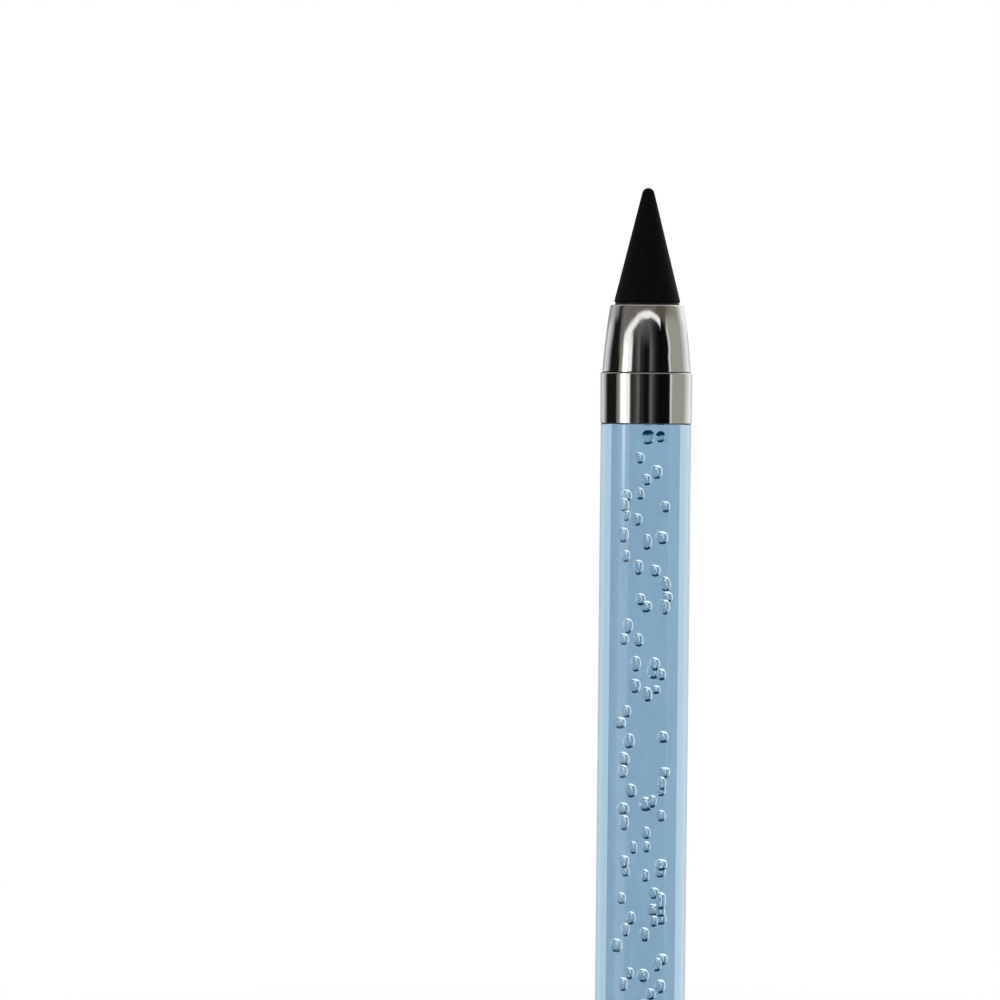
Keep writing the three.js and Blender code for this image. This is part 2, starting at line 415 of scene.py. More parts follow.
class Tree:
    """Adds nodes to one shader tree. A value may be a number, a colour or another node's output."""

    def __init__(self, tree):
        self.tree = tree

    def add(self, kind, inputs=None, **settings):
        """A node of one kind, with its settings and inputs filled in."""
        node = self.tree.nodes.new(kind)
        for key, value in settings.items():
            setattr(node, key, value)
        for key, value in (inputs or {}).items():
            self.put(node.inputs[key], value)
        return node

    def put(self, socket, value):
        """Links or sets one input."""
        if isinstance(value, bpy.types.NodeSocket):
            self.tree.links.new(value, socket)
        elif isinstance(value, (tuple, list)) and socket.type == "RGBA":
            socket.default_value = (*value[:3], 1)
        else:
            socket.default_value = value

    def math(self, operation, first, second=0.0, third=0.0, clamp=False):
        """One step of arithmetic."""
        node = self.tree.nodes.new("ShaderNodeMath")
        node.operation = operation
        node.use_clamp = clamp
        for index, value in enumerate((first, second, third)):
            self.put(node.inputs[index], value)
        return node.outputs[0]

    def blend(self, factor, first, second):
        """Mixes two colours."""
        node = self.tree.nodes.new("ShaderNodeMix")
        node.data_type = "RGBA"
        self.put(node.inputs[0], factor)
        self.put(node.inputs[6], first)
        self.put(node.inputs[7], second)
        return node.outputs[2]

    def rise(self, value, start, end):
        """0 below start, 1 above end and smooth between them."""
        node = self.tree.nodes.new("ShaderNodeMapRange")
        node.interpolation_type = "SMOOTHSTEP"
        self.put(node.inputs["Value"], value)
        self.put(node.inputs["From Min"], start)
        self.put(node.inputs["From Max"], end)
        return node.outputs[0]

    def product(self, first, *others):
        """All the values multiplied together."""
        for other in others:
            first = self.math("MULTIPLY", first, other)
        return first

    def largest(self, first, *others):
        """The largest of the values."""
        for other in others:
            first = self.math("MAXIMUM", first, other)
        return first

    def scaled(self, value, factor, added):
        """The value times a factor, with another value added."""
        return self.math("MULTIPLY_ADD", value, factor, added)

    def inverse(self, value):
        """0 where the value is 1, and 1 where it is 0."""
        return self.math("SUBTRACT", 1.0, value)

    def height_of(self, vector):
        """The vector's Z."""
        return self.add("ShaderNodeSeparateXYZ", {0: vector}).outputs[2]

    def window(self, value, start, end, soft):
        """1 between start and end, falling off over the soft distance outside them."""
        opening = self.rise(value, start - soft, start)
        closing = self.rise(value, end, end + soft)
        return self.math("SUBTRACT", opening, closing, clamp=True)

    def ramp(self, factor, stops):
        """Colour ramp from (position, colour) stops."""
        node = self.tree.nodes.new("ShaderNodeValToRGB")
        elements = node.color_ramp.elements
        while len(elements) > 1:
            elements.remove(elements[-1])
        for index, (position, colour) in enumerate(stops):
            element = elements[0] if index == 0 else elements.new(position)
            element.position = position
            element.color = (*colour, 1)
        self.put(node.inputs[0], factor)
        return node.outputs[0]

    def noise(self, vector, scale, detail=2.0, roughness=0.5, distortion=0.0):
        """Noise value."""
        inputs = {"Vector": vector, "Scale": scale, "Detail": detail, "Roughness": roughness,
                  "Distortion": distortion}
        return self.add("ShaderNodeTexNoise", inputs).outputs[0]

    def stretched(self, vector, scale):
        """The vector scaled along each axis."""
        return self.add("ShaderNodeVectorMath", {0: vector, 1: scale}, operation="MULTIPLY").outputs[0]

    def bump(self, height, distance, strength=1.0, normal=None):
        """Surface normal from a height, laid over another normal if one is given."""
        inputs = {"Height": height, "Distance": distance, "Strength": strength}
        if normal is not None:
            inputs["Normal"] = normal
        return self.add("ShaderNodeBump", inputs).outputs[0]


def new_group(name, inputs, outputs):
    """A shader node group, its tree helper, and the sockets of what is given to it and made by it.

    Inputs are (name, kind, default) and outputs (name, kind).
    """
    group = bpy.data.node_groups.new(name, "ShaderNodeTree")
    for label, kind, default in inputs:
        socket = group.interface.new_socket(label, in_out="INPUT", socket_type=kind)
        if default is not None:
            socket.default_value = default
    for label, kind in outputs:
        group.interface.new_socket(label, in_out="OUTPUT", socket_type=kind)
    tree = Tree(group)
    return group, tree, tree.add("NodeGroupInput").outputs, tree.add("NodeGroupOutput").inputs


def turning_marks():
    """Node group: uneven fine rings round a turned piece."""
    name = "turning_marks"
    if name in bpy.data.node_groups:
        return bpy.data.node_groups[name]
    group, tree, given, made = new_group(
        name,
        [("Vector", "NodeSocketVector", None), ("Spacing", "NodeSocketFloat", 0.0002),
         ("Unevenness", "NodeSocketFloat", 0.5)],
        [("Height", "NodeSocketFloat"), ("Mask", "NodeSocketFloat")])
    height = tree.height_of(given["Vector"])
    drift = tree.noise(given["Vector"], 900.0, 2.0)
    swing = tree.product(tree.math("SUBTRACT", drift, 0.5), given["Unevenness"])
    turns = tree.math("ADD", tree.math("DIVIDE", height, given["Spacing"]), swing)
    wave = tree.math("SINE", tree.product(turns, 2 * math.pi))
    patch = tree.noise(tree.stretched(given["Vector"], (260, 260, 1400)), 1.0, 3.0)
    strength = tree.rise(patch, 0.35, 0.7)
    tree.put(made["Height"], tree.product(wave, strength))
    tree.put(made["Mask"], tree.product(tree.scaled(wave, 0.5, 0.5), strength))
    return group


def fine_grain():
    """Node group: pressed grain with scattered brighter flecks."""
    name = "fine_grain"
    if name in bpy.data.node_groups:
        return bpy.data.node_groups[name]
    group, tree, given, made = new_group(
        name,
        [("Vector", "NodeSocketVector", None), ("Grain Size", "NodeSocketFloat", 0.0001),
         ("Fleck Share", "NodeSocketFloat", 0.1)],
        [("Grain", "NodeSocketFloat"), ("Flecks", "NodeSocketFloat"), ("Height", "NodeSocketFloat")])
    scale = tree.math("DIVIDE", 1.0, given["Grain Size"])
    grain = tree.noise(given["Vector"], scale, 4.0, 0.65)
    cells = tree.add("ShaderNodeTexVoronoi", {"Vector": given["Vector"], "Scale": scale})
    shade = tree.add("ShaderNodeSeparateColor", {0: cells.outputs["Color"]}).outputs[0]
    chosen = tree.math("GREATER_THAN", shade, tree.inverse(given["Fleck Share"]))
    near = tree.inverse(tree.rise(cells.outputs["Distance"], 0.15, 0.5))
    flecks = tree.product(chosen, near)
    tree.put(made["Grain"], grain)
    tree.put(made["Flecks"], flecks)
    tree.put(made["Height"], tree.scaled(flecks, 0.4, grain))
    return group


def handling_marks():
    """Node group: faint smears and hairline scratches left by handling and polishing."""
    name = "handling_marks"
    if name in bpy.data.node_groups:
        return bpy.data.node_groups[name]
    group, tree, given, made = new_group(
        name,
        [("Vector", "NodeSocketVector", None), ("Clean", "NodeSocketFloat", 0.03),
         ("Marked", "NodeSocketFloat", 0.1)],
        [("Roughness", "NodeSocketFloat"), ("Height", "NodeSocketFloat")])
    smear = tree.noise(tree.stretched(given["Vector"], (420, 420, 170)), 1.0, 3.0, 0.6, 0.8)
    hairs = tree.noise(tree.stretched(given["Vector"], (2600, 2600, 60000)), 1.0, 2.0, 0.6)
    marks = tree.scaled(tree.rise(hairs, 0.62, 0.72), 0.5, tree.rise(smear, 0.5, 0.78))
    share = tree.math("MINIMUM", marks, 1.0)
    span = tree.math("SUBTRACT", given["Marked"], given["Clean"])
    tree.put(made["Roughness"], tree.scaled(share, span, given["Clean"]))
    tree.put(made["Height"], hairs)
    return group


def place_group(tree, group, inputs):
    """Puts a node group into a material with its own values."""
    node = tree.add("ShaderNodeGroup", node_tree=group)
    for key, value in inputs.items():
        tree.put(node.inputs[key], value)
    return node.outputs


def new_finish(name):
    """A material, its tree helper, its output node and the object coordinates."""
    material = bpy.data.materials.new(name)
    material.use_nodes = True
    material.node_tree.nodes.clear()
    tree = Tree(material.node_tree)
    output = tree.add("ShaderNodeOutputMaterial")
    place = tree.add("ShaderNodeTexCoord").outputs["Object"]
    return material, tree, output, place


def surface(tree, output, inputs):
    """A Principled shader joined to the material's output."""
    shader = tree.add("ShaderNodeBsdfPrincipled", inputs)
    tree.put(output.inputs["Surface"], shader.outputs[0])


def mixed_surface(tree, output, share, first, second):
    """Two shaders mixed by a share and joined to the material's output."""
    mixed = tree.add("ShaderNodeMixShader", {0: share, 1: first, 2: second})
    tree.put(output.inputs["Surface"], mixed.outputs[0])


def graphite_finish(settings):
    """Matt pressed graphite: near black, mottled grain, a few flecks and faint turned rings."""
    material, tree, output, place = new_finish("graphite_finish")
    dark = tuple(settings.graphite_colour)
    grain = place_group(tree, fine_grain(), {"Vector": place, "Grain Size": 0.16 * MM, "Fleck Share": 0.16})
    rings = place_group(
        tree, turning_marks(), {"Vector": place, "Spacing": settings.ring_spacing, "Unevenness": 0.5})
    mottle = tree.rise(tree.noise(place, 1500.0, 4.0, 0.6), 0.35, 0.75)
    body = tree.blend(tree.rise(grain["Grain"], 0.4, 0.66), dark, times(2.6, dark))
    clouded = tree.blend(mottle, body, times(1.7, dark))
    flecked = tree.blend(grain["Flecks"], clouded, times(6.5, dark))
    roughness = tree.scaled(grain["Grain"], 0.25, 0.47)
    relief = tree.scaled(rings["Height"], 0.5, grain["Height"])
    surface(tree, output, {
        "Base Color": flecked, "Roughness": roughness, "Specular IOR Level": 0.06,
        "Normal": tree.bump(relief, 0.012 * MM, 0.9)})
    return material


def rubber_finish():
    """Smooth black washer with a faint sheen."""
    material, tree, output, place = new_finish("rubber_finish")
    grain = place_group(tree, fine_grain(), {"Vector": place, "Grain Size": 0.05 * MM, "Fleck Share": 0.03})
    colour = tree.blend(grain["Grain"], (0.003, 0.003, 0.0032), (0.008, 0.008, 0.0085))
    roughness = tree.scaled(grain["Grain"], 0.2, 0.4)
    surface(tree, output, {
        "Base Color": colour, "Roughness": roughness, "Specular IOR Level": 0.35,
        "Normal": tree.bump(grain["Height"], 0.002 * MM, 0.6)})
    return material


def chrome_finish(settings):
    """Bright plating, never quite flat, with faint smears and hairlines, and painted shade in a dark line at
    each seam.
    """
    material, tree, output, place = new_finish("chrome_finish")
    swell = tree.noise(tree.stretched(place, (520, 520, 190)), 1.0, 1.0, 0.35)
    wavy = tree.bump(swell, 0.018 * MM)
    marks = place_group(tree, handling_marks(), {
        "Vector": place, "Clean": settings.chrome_roughness, "Marked": settings.chrome_roughness + 0.045})
    tone = tree.noise(place, 260.0, 2.0)
    clean = tuple(settings.chrome_colour)
    plating = tree.blend(tone, clean, times(0.93, clean))
    height = tree.height_of(place)
    # Painted shade: a dark line at each seam between the chromed pieces, where shade falls in the joint
    painted_seam_shades = []
    for level in (BARREL_TOP + SEAM, BARREL_FOOT - SEAM, NOSE_FOOT + SEAM, CAP_TOP - SEAM):
        away = tree.math("ABSOLUTE", tree.math("SUBTRACT", height, level))
        painted_seam_shades.append(tree.inverse(tree.rise(away, SEAM, 2 * SEAM)))
    colour = tree.blend(tree.product(tree.largest(*painted_seam_shades), 0.85), plating, (0.02, 0.02, 0.022))
    surface(tree, output, {
        "Base Color": colour, "Metallic": 1.0, "Roughness": marks["Roughness"],
        "Normal": tree.bump(marks["Height"], 0.0004 * MM, 0.5, wavy)})
    return material


def turned_metal_finish(name, colour, spacing, roughness):
    """Bare turned metal with tool marks round it."""
    material, tree, output, place = new_finish(name)
    rings = place_group(tree, turning_marks(), {"Vector": place, "Spacing": spacing, "Unevenness": 0.3})
    marks = place_group(tree, handling_marks(), {
        "Vector": place, "Clean": roughness, "Marked": roughness + 0.14})
    shade = tree.blend(rings["Mask"], colour, times(0.82, colour))
    surface(tree, output, {
        "Base Color": shade, "Metallic": 1.0, "Roughness": marks["Roughness"],
        "Normal": tree.bump(rings["Height"], 0.003 * MM, 0.5)})
    return material


def see_through(tree, colour):
    """A shader that lets light pass straight on, tinted."""
    return tree.add("ShaderNodeBsdfTransparent", {"Color": colour}).outputs[0]


def clear_resin_finish(settings):
    """Cast clear resin with a faint blue tint, darkened in a painted shade line just inside its outline. Its
    shadow is tinted light, not black.
    """
    material, tree, output, place = new_finish("clear_resin_finish")
    colour = tuple(settings.sleeve_colour)
    marks = place_group(tree, handling_marks(), {"Vector": place, "Clean": 0.0, "Marked": 0.035})
    turned_away = tree.add("ShaderNodeLayerWeight", {"Blend": 0.5}).outputs["Facing"]
    # Painted shade: a thin dark line where the wall turns away, just inside the outline
    hairline = tree.window(turned_away, 0.71, 0.76, 0.02)
    tint = tree.blend(hairline, colour, times(0.5, colour))
    glass = tree.add("ShaderNodeBsdfPrincipled", {
        "Base Color": tint, "Roughness": marks["Roughness"], "IOR": RESIN_IOR, "Transmission Weight": 1.0})
    shadow = tree.add("ShaderNodeLightPath").outputs["Is Shadow Ray"]
    mixed_surface(tree, output, shadow, glass.outputs[0], see_through(tree, one_face(colour)))
    return material


def bond_finish():
    """Where the clear wall meets the core, light passes straight on."""
    material, tree, output, place = new_finish("bond_finish")
    speck = tree.rise(tree.noise(place, 5200.0, 2.0), 0.74, 0.8)
    colour = tree.blend(speck, (1.0, 1.0, 1.0), (0.93, 0.95, 0.96))
    tree.put(output.inputs["Surface"], see_through(tree, colour))
    return material


def glue_finish():
    """Grey film of glue that holds the clear wall's tenon in its collar."""
    material, tree, output, place = new_finish("glue_finish")
    patch = tree.rise(tree.noise(place, 900.0, 3.0), 0.35, 0.65)
    colour = tree.blend(patch, (0.66, 0.68, 0.70), (0.80, 0.82, 0.84))
    surface(tree, output, {"Base Color": colour, "Roughness": 0.6, "Specular IOR Level": 0.2})
    return material


def core_finish(settings):
    """Tinted resin: each of its two surfaces holds back half of the tint, with faint clouding along it."""
    material, tree, output, place = new_finish("core_finish")
    tint = one_face(settings.core_colour)
    cloud = tree.noise(tree.stretched(place, (520, 520, 90)), 1.0, 3.0, 0.55, 0.4)
    colour = tree.blend(tree.rise(cloud, 0.3, 0.7), tint, times(0.955, tint))
    tree.put(output.inputs["Surface"], see_through(tree, colour))
    return material


def bubble_finish():
    """Air in resin, which bends light the other way.

    A painted highlight glows on its top and sides and painted shade lies on its foot, both drawn from the way
    that the surface faces.
    """
    material, tree, output, place = new_finish("bubble_finish")
    geometry = tree.add("ShaderNodeNewGeometry").outputs
    normal = tree.add("ShaderNodeSeparateXYZ", {0: geometry["Normal"]}).outputs
    outward = tree.scaled(geometry["Backfacing"], -2.0, 1.0)
    upward = tree.product(normal[2], outward)
    sideways = tree.product(normal[0], outward)
    leaning = tree.scaled(sideways, 0.6, upward)
    near = tree.scaled(geometry["Backfacing"], -0.55, 1.0)
    edge = tree.add("ShaderNodeLayerWeight", {"Blend": 0.5}).outputs["Facing"]
    some = tree.rise(tree.noise(place, 330.0, 0.0), 0.42, 0.58)

    # The bubbles next to the collar get painted shade on their cap in place of the painted highlight
    by_collar = tree.rise(tree.height_of(place), BARREL_TOP - 2.6 * MM, BARREL_TOP - 1.6 * MM)
    cap = tree.product(tree.rise(upward, 0.10, 0.30), by_collar)

    # Painted highlight: the crown, both sides, and a ring round the middle
    top = tree.product(tree.rise(tree.scaled(sideways, 0.22, upward), 0.48, 0.60), 0.97)
    right = tree.product(
        tree.rise(edge, 0.42, 0.58), tree.rise(tree.scaled(upward, 0.3, sideways), 0.30, 0.65),
        tree.rise(upward, -0.60, -0.10), 0.85)
    left = tree.product(
        tree.rise(edge, 0.46, 0.62), tree.rise(tree.product(sideways, -1.0), 0.40, 0.70),
        tree.rise(upward, -0.35, 0.10), tree.inverse(some), 0.5)
    inner = tree.product(tree.window(edge, 0.025, 0.055, 0.018), tree.rise(leaning, 0.04, 0.16), 0.4)

    # Painted shade: the foot, a dash over the crown of some, a fine line inside, and the outline
    low = tree.rise(tree.scaled(sideways, 0.15, tree.product(upward, -1.0)), 0.40, 0.56)
    foot = tree.largest(cap, tree.product(low, tree.rise(edge, 0.08, 0.20)))
    dash = tree.product(tree.rise(edge, 0.60, 0.76), tree.rise(upward, 0.74, 0.88), some)
    line = tree.product(tree.window(edge, 0.12, 0.20, 0.04), tree.rise(leaning, 0.08, 0.26))
    outline = tree.scaled(tree.rise(edge, 0.86, 0.97), -0.85, 1.0)

    # Amount of painted highlight, a glow laid over the air
    painted_highlight = tree.product(
        tree.largest(top, right, left, inner), outline, tree.inverse(by_collar), near,
        tree.inverse(tree.largest(foot, dash)), 0.78)
    dark = tree.largest(tree.product(foot, 0.96), tree.product(dash, 0.6), tree.product(line, near, 0.40))
    air = tree.add("ShaderNodeBsdfGlass", {
        "Color": (0.90, 0.93, 0.945), "Roughness": 0.0, "IOR": 1 / RESIN_IOR})
    # Colour of the painted glow: near black for the painted shade, warm white for the painted highlight
    shade = tree.blend(tree.rise(painted_highlight, 0.02, 0.10), (0.002, 0.020, 0.040), (1.0, 0.93, 0.84))
    painted_glow = tree.add("ShaderNodeEmission", {"Color": shade, "Strength": 2.15})
    mixed_surface(tree, output, tree.largest(painted_highlight, dark), air.outputs[0], painted_glow.outputs[0])
    return material


def dress(piece, body, slot, nodes, *materials):
    """Gives a piece its finishes and its body, and hides the frame nodes it stands for. The slot is not used.
    """
    for material in materials:
        piece.data.materials.append(material)
    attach(piece, body)
    if nodes:
        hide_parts(*nodes)


# Pieces


def nib_side():
    """Centres of the cone's tip and base-edge rounds, and the angle at which its side faces out."""
    edge = (NIB_RADIUS - NIB_EDGE_RADIUS, NIB_BASE + NIB_EDGE_RADIUS)
    tip = (0.0, NIB_TIP - NIB_TIP_RADIUS)
    across = (tip[0] - edge[0], tip[1] - edge[1])
    length = math.hypot(*across)
    outward = math.atan2(across[1], across[0]) - math.acos((NIB_EDGE_RADIUS - NIB_TIP_RADIUS) / length)
    return edge, tip, math.degrees(outward)


class PENCIL_OT_writing_cone(bpy.types.Operator):
    """Builds the graphite writing cone"""

    bl_idname = "pencil.writing_cone"
    bl_label = "Writing Cone"

    def execute(self, context):
        settings = context.scene.pencil_nib
        edge, tip, outward = nib_side()
        chooser = random.Random(3)
        base_arc = arc(*edge, NIB_EDGE_RADIUS, -90, outward, 10)
        tip_arc = arc(*tip, NIB_TIP_RADIUS, outward, 90, 14)
        start, end = base_arc[-1], tip_arc[0]
        steps = round((end[1] - start[1]) / (settings.ring_spacing / MARK_ROWS))
        side = []
        for step in range(1, steps):
            share = step / steps
            swell = settings.ring_depth * (0.5 + 0.5 * math.cos(2 * math.pi * step / MARK_ROWS))
            inset = swell * chooser.uniform(0.3, 1.0)
            radius = start[0] + (end[0] - start[0]) * share - inset
            side.append((radius, start[1] + (end[1] - start[1]) * share))
        socket = PEG_RADIUS + FIT_GAP
        recess = FLANGE_RADIUS + FIT_GAP
        drill = socket / math.tan(DRILL_HALF_ANGLE)
        outline = [
            (0.0, SOCKET_TOP + drill), (socket, SOCKET_TOP), (socket, NIB_BASE + FLANGE_THICKNESS),
            (recess, NIB_BASE + FLANGE_THICKNESS), (recess, NIB_BASE),
            *base_arc, *side, *tip_arc[:-1], (0.0, NIB_TIP)]
        piece = turned_piece("writing_cone", outline)
        dress(piece, "nib", "graphite", ["nib_cone"], graphite_finish(settings))
        return {"FINISHED"}


class PENCIL_OT_nib_screw(bpy.types.Operator):
    """Builds the threaded stud with its flange and knurled peg"""

    bl_idname = "pencil.nib_screw"
    bl_label = "Nib Screw"

    def execute(self, context):
        settings = context.scene.pencil_nib
        pitch, depth = settings.thread_pitch, settings.thread_depth
        root = THREAD_RADIUS - depth
        chamfer = THREAD_RADIUS - STUD_CHAMFER
        neck_foot = NIB_BASE - STUD_NECK
        rings = []
        height = STUD_END
        while height < neck_foot:
            limit = chamfer + (height - STUD_END)
            fade = min((neck_foot - height) / (0.5 * pitch), 1)
            cuts = thread_radii(height, pitch, depth, THREAD_RADIUS)
            rings.append((height, [min(cut, limit) * fade + root * (1 - fade) for cut in cuts]))
            height += pitch / THREAD_ROWS
        rings.append(plain_ring(neck_foot, root))
        rings.append(plain_ring(NIB_BASE - STUD_FILLET, root))
        rings.append(plain_ring(NIB_BASE, root + STUD_FILLET))
        top = NIB_BASE + FLANGE_THICKNESS
        for radius, level in rounded_wall(FLANGE_RADIUS, NIB_BASE, top, FLANGE_EDGE, 4):
            rings.append(plain_ring(level, radius))
        teeth = knurl_radii(settings.peg_teeth, PEG_RADIUS)
        rings.append((top, teeth))
        rings.append((PEG_TOP - PEG_CHAMFER, teeth))
        rings.append((PEG_TOP, [radius - PEG_CHAMFER for radius in teeth]))
        piece = wound_piece("nib_screw", rings)
        steel = turned_metal_finish("steel_finish", (0.56, 0.57, 0.58), 0.11 * MM, 0.24)
        dress(piece, "nib", "stud_steel", ["nib_stud"], steel)
        return {"FINISHED"}


class PENCIL_OT_seal_washer(bpy.types.Operator):
    """Builds the black washer under the cone"""

    bl_idname = "pencil.seal_washer"
    bl_label = "Seal Washer"

    def execute(self, context):
        outline = [
            (PASS_RADIUS, NIB_BASE), (PASS_RADIUS, NOSE_TOP),
            *rounded_wall(WASHER_RADIUS, NOSE_TOP, NIB_BASE, WASHER_EDGE, 5)]
        piece = turned_piece("seal_washer", outline)
        dress(piece, "washer", "black_rubber", ["nib_washer"], rubber_finish())
        return {"FINISHED"}


def nose_outline():
    """Outline of the nose: ogive, rim, stepped bore and spigot."""
    rim_centre = (NOSE_TOP_RADIUS - NOSE_RIM, NOSE_TOP - NOSE_RIM)
    rim = arc(*rim_centre, NOSE_RIM, math.degrees(NOSE_LEAN), 90, 10)
    waist_height = NOSE_FOOT + (NOSE_TOP - NOSE_FOOT) / 2
    waist = (rim[0][0] + (rim[0][1] - waist_height) * math.tan(NOSE_LEAN), waist_height)
    edge = SHOULDER_EDGE
    foot = arc(SHOULDER_RADIUS - edge, NOSE_FOOT + edge, edge, -90, 0, 4)
    ogive = bowed((SHOULDER_RADIUS, NOSE_FOOT), waist, rim[0], 40)
    side = [point for point in ogive if point[1] > NOSE_FOOT + 1.5 * edge]
    bush_bore = BUSH_RADIUS + FIT_GAP
    spigot_bore = BUSH_FLANGE_RADIUS + FIT_GAP
    flange_top = NOSE_FOOT + BUSH_FLANGE_THICKNESS
    spigot_foot = NOSE_FOOT - SPIGOT_LENGTH
    return [
        (PASS_RADIUS, NOSE_TOP), (PASS_RADIUS, BUSH_TOP), (bush_bore, BUSH_TOP), (bush_bore, flange_top),
        (spigot_bore, flange_top), (spigot_bore, spigot_foot), (TENON_RADIUS, spigot_foot),
        (TENON_RADIUS, NOSE_FOOT), *foot, *side, *rim[1:]]


class PENCIL_OT_nose_shell(bpy.types.Operator):
    """Builds the chromed nose"""

    bl_idname = "pencil.nose_shell"
    bl_label = "Nose"

    def execute(self, context):
        piece = turned_piece("nose_shell", nose_outline())
        dress(piece, "barrel", "chrome_plate", ["nose_cone"], shared_chrome(context))
        return {"FINISHED"}


def shared_chrome(context):
    """The plating, made once for all four chromed pieces."""
    made = bpy.data.materials.get("chrome_finish")
    return made or chrome_finish(context.scene.pencil_metal)


class PENCIL_OT_threaded_bush(bpy.types.Operator):
    """Builds the brass bush with its inner thread and knurled band"""

    bl_idname = "pencil.threaded_bush"
    bl_label = "Threaded Bush"

    def execute(self, context):
        nib = context.scene.pencil_nib
        metal = context.scene.pencil_metal
        pitch, depth = nib.thread_pitch, nib.thread_depth
        foot, top = NOSE_FOOT, BUSH_TOP
        root = THREAD_RADIUS + FIT_GAP
        mouth = root + BUSH_ENTRY
        rings = []
        rows = round((top - foot) / (pitch / THREAD_ROWS))
        for number in range(rows, -1, -1):
            height = foot + (top - foot) * number / rows
            flare = max(mouth - (height - foot), mouth - (top - height))
            rings.append((height, [max(cut, flare) for cut in thread_radii(height, pitch, depth, root)]))
        plain = BUSH_RADIUS - KNURL_DEPTH
        flange_top = foot + BUSH_FLANGE_THICKNESS
        edge = BUSH_EDGE
        band_foot = foot + (BUSH_FLANGE_THICKNESS + (top - foot) - KNURL_BAND) / 2
        band_top = band_foot + KNURL_BAND
        for radius, height in (
                (BUSH_FLANGE_RADIUS - edge, foot), (BUSH_FLANGE_RADIUS, foot + edge),
                (BUSH_FLANGE_RADIUS, flange_top - edge), (BUSH_FLANGE_RADIUS - edge, flange_top),
                (plain, flange_top), (plain, band_foot)):
            rings.append(plain_ring(height, radius))
        teeth = knurl_radii(metal.bush_teeth, BUSH_RADIUS)
        rings.append((band_foot + edge, teeth))
        rings.append((band_top - edge, teeth))
        rings.append(plain_ring(band_top, plain))
        rings.append(plain_ring(top - BUSH_CHAMFER, plain))
        rings.append(plain_ring(top, plain - BUSH_CHAMFER))
        piece = wound_piece("threaded_bush", rings, closed=True)
        brass = turned_metal_finish("brass_finish", tuple(metal.brass_colour), 0.13 * MM, 0.2)
        dress(piece, "barrel", "bush_brass", ["nose_bush"], brass)
        return {"FINISHED"}


def collar_outline(barrel_end, away):
    """Outline of a collar from its barrel end. away is 1 for the front ring and -1 for the rear one."""
    far_end = barrel_end + away * (NOSE_FOOT - BARREL_TOP)
    edge = COLLAR_EDGE
    outline = [(COLLAR_BORE, far_end), (COLLAR_BORE, barrel_end)]
    for radius, height in arc(COLLAR_BARREL_RADIUS - edge, edge, edge, -90, 0, 7):
        outline.append((radius, barrel_end + away * height))
    for radius, height in arc(COLLAR_RADIUS - edge, -edge, edge, 0, 90, 7):
        outline.append((radius, far_end + away * height))
    return outline if away > 0 else outline[::-1]


class PENCIL_OT_chrome_rings(bpy.types.Operator):
    """Builds the collars at both ends of the barrel"""

    bl_idname = "pencil.chrome_rings"
    bl_label = "Collars"

    def execute(self, context):
        chrome = shared_chrome(context)
        front = turned_piece("front_ring", collar_outline(BARREL_TOP, 1))
        dress(front, "barrel", "chrome_plate", ["front_collar"], chrome)
        rear = turned_piece("rear_ring", collar_outline(BARREL_FOOT, -1))
        dress(rear, "barrel", "chrome_plate", ["rear_collar"], chrome)
        return {"FINISHED"}


class PENCIL_OT_tail_cap(bpy.types.Operator):
    """Builds the end cap that the pencil stands on"""

    bl_idname = "pencil.tail_cap"
    bl_label = "End Cap"

    def execute(self, context):
        tail = SHOULDER_RADIUS - CAP_TAPER
        edge = SHOULDER_EDGE
        spigot_top = CAP_TOP + SPIGOT_LENGTH
        outline = [
            (0.0, 0.0), (CAP_FACE_RADIUS, 0.0), *arc(tail - CAP_EDGE, CAP_EDGE, CAP_EDGE, -90, 0, 16),
            *arc(SHOULDER_RADIUS - edge, CAP_TOP - edge, edge, 0, 90, 4),
            (TENON_RADIUS, CAP_TOP), (TENON_RADIUS, spigot_top), (0.0, spigot_top)]
        piece = turned_piece("tail_cap", outline)
        dress(piece, "barrel", "chrome_plate", ["end_cap"], shared_chrome(context))
        return {"FINISHED"}


class PENCIL_OT_clear_sleeve(bpy.types.Operator):
    """Builds the clear wall of the barrel"""

    bl_idname = "pencil.clear_sleeve"
    bl_label = "Clear Wall"

    def execute(self, context):
        outline = [
            (SLEEVE_BORE, CORE_TOP), (SLEEVE_BORE, CORE_FOOT), (TENON_RADIUS, CORE_FOOT),
            (TENON_RADIUS, BARREL_FOOT),
            *rounded_wall(BARREL_RADIUS, BARREL_FOOT, BARREL_TOP, BARREL_EDGE, 7),
            (TENON_RADIUS, BARREL_TOP), (TENON_RADIUS, CORE_TOP)]
        linings = ((SLEEVE_BORE, SLEEVE_BORE, 1), (SLEEVE_BORE, TENON_RADIUS, 2))
        piece = turned_piece("clear_sleeve", outline, linings)
        settings = context.scene.pencil_barrel
        dress(piece, "barrel", "clear_resin", ["barrel_sleeve"],
              clear_resin_finish(settings), bond_finish(), glue_finish())
        return {"FINISHED"}


class PENCIL_OT_tinted_core(bpy.types.Operator):
    """Builds the tinted core of the barrel"""

    bl_idname = "pencil.tinted_core"
    bl_label = "Tinted Core"

    def execute(self, context):
        outline = [
            (0.0, CORE_FOOT), *rounded_wall(CORE_RADIUS, CORE_FOOT, CORE_TOP, CORE_EDGE, 4), (0.0, CORE_TOP)]
        piece = turned_piece("tinted_core", outline)
        dress(piece, "barrel", "tinted_resin", ["barrel_core"], core_finish(context.scene.pencil_barrel))
        return {"FINISHED"}


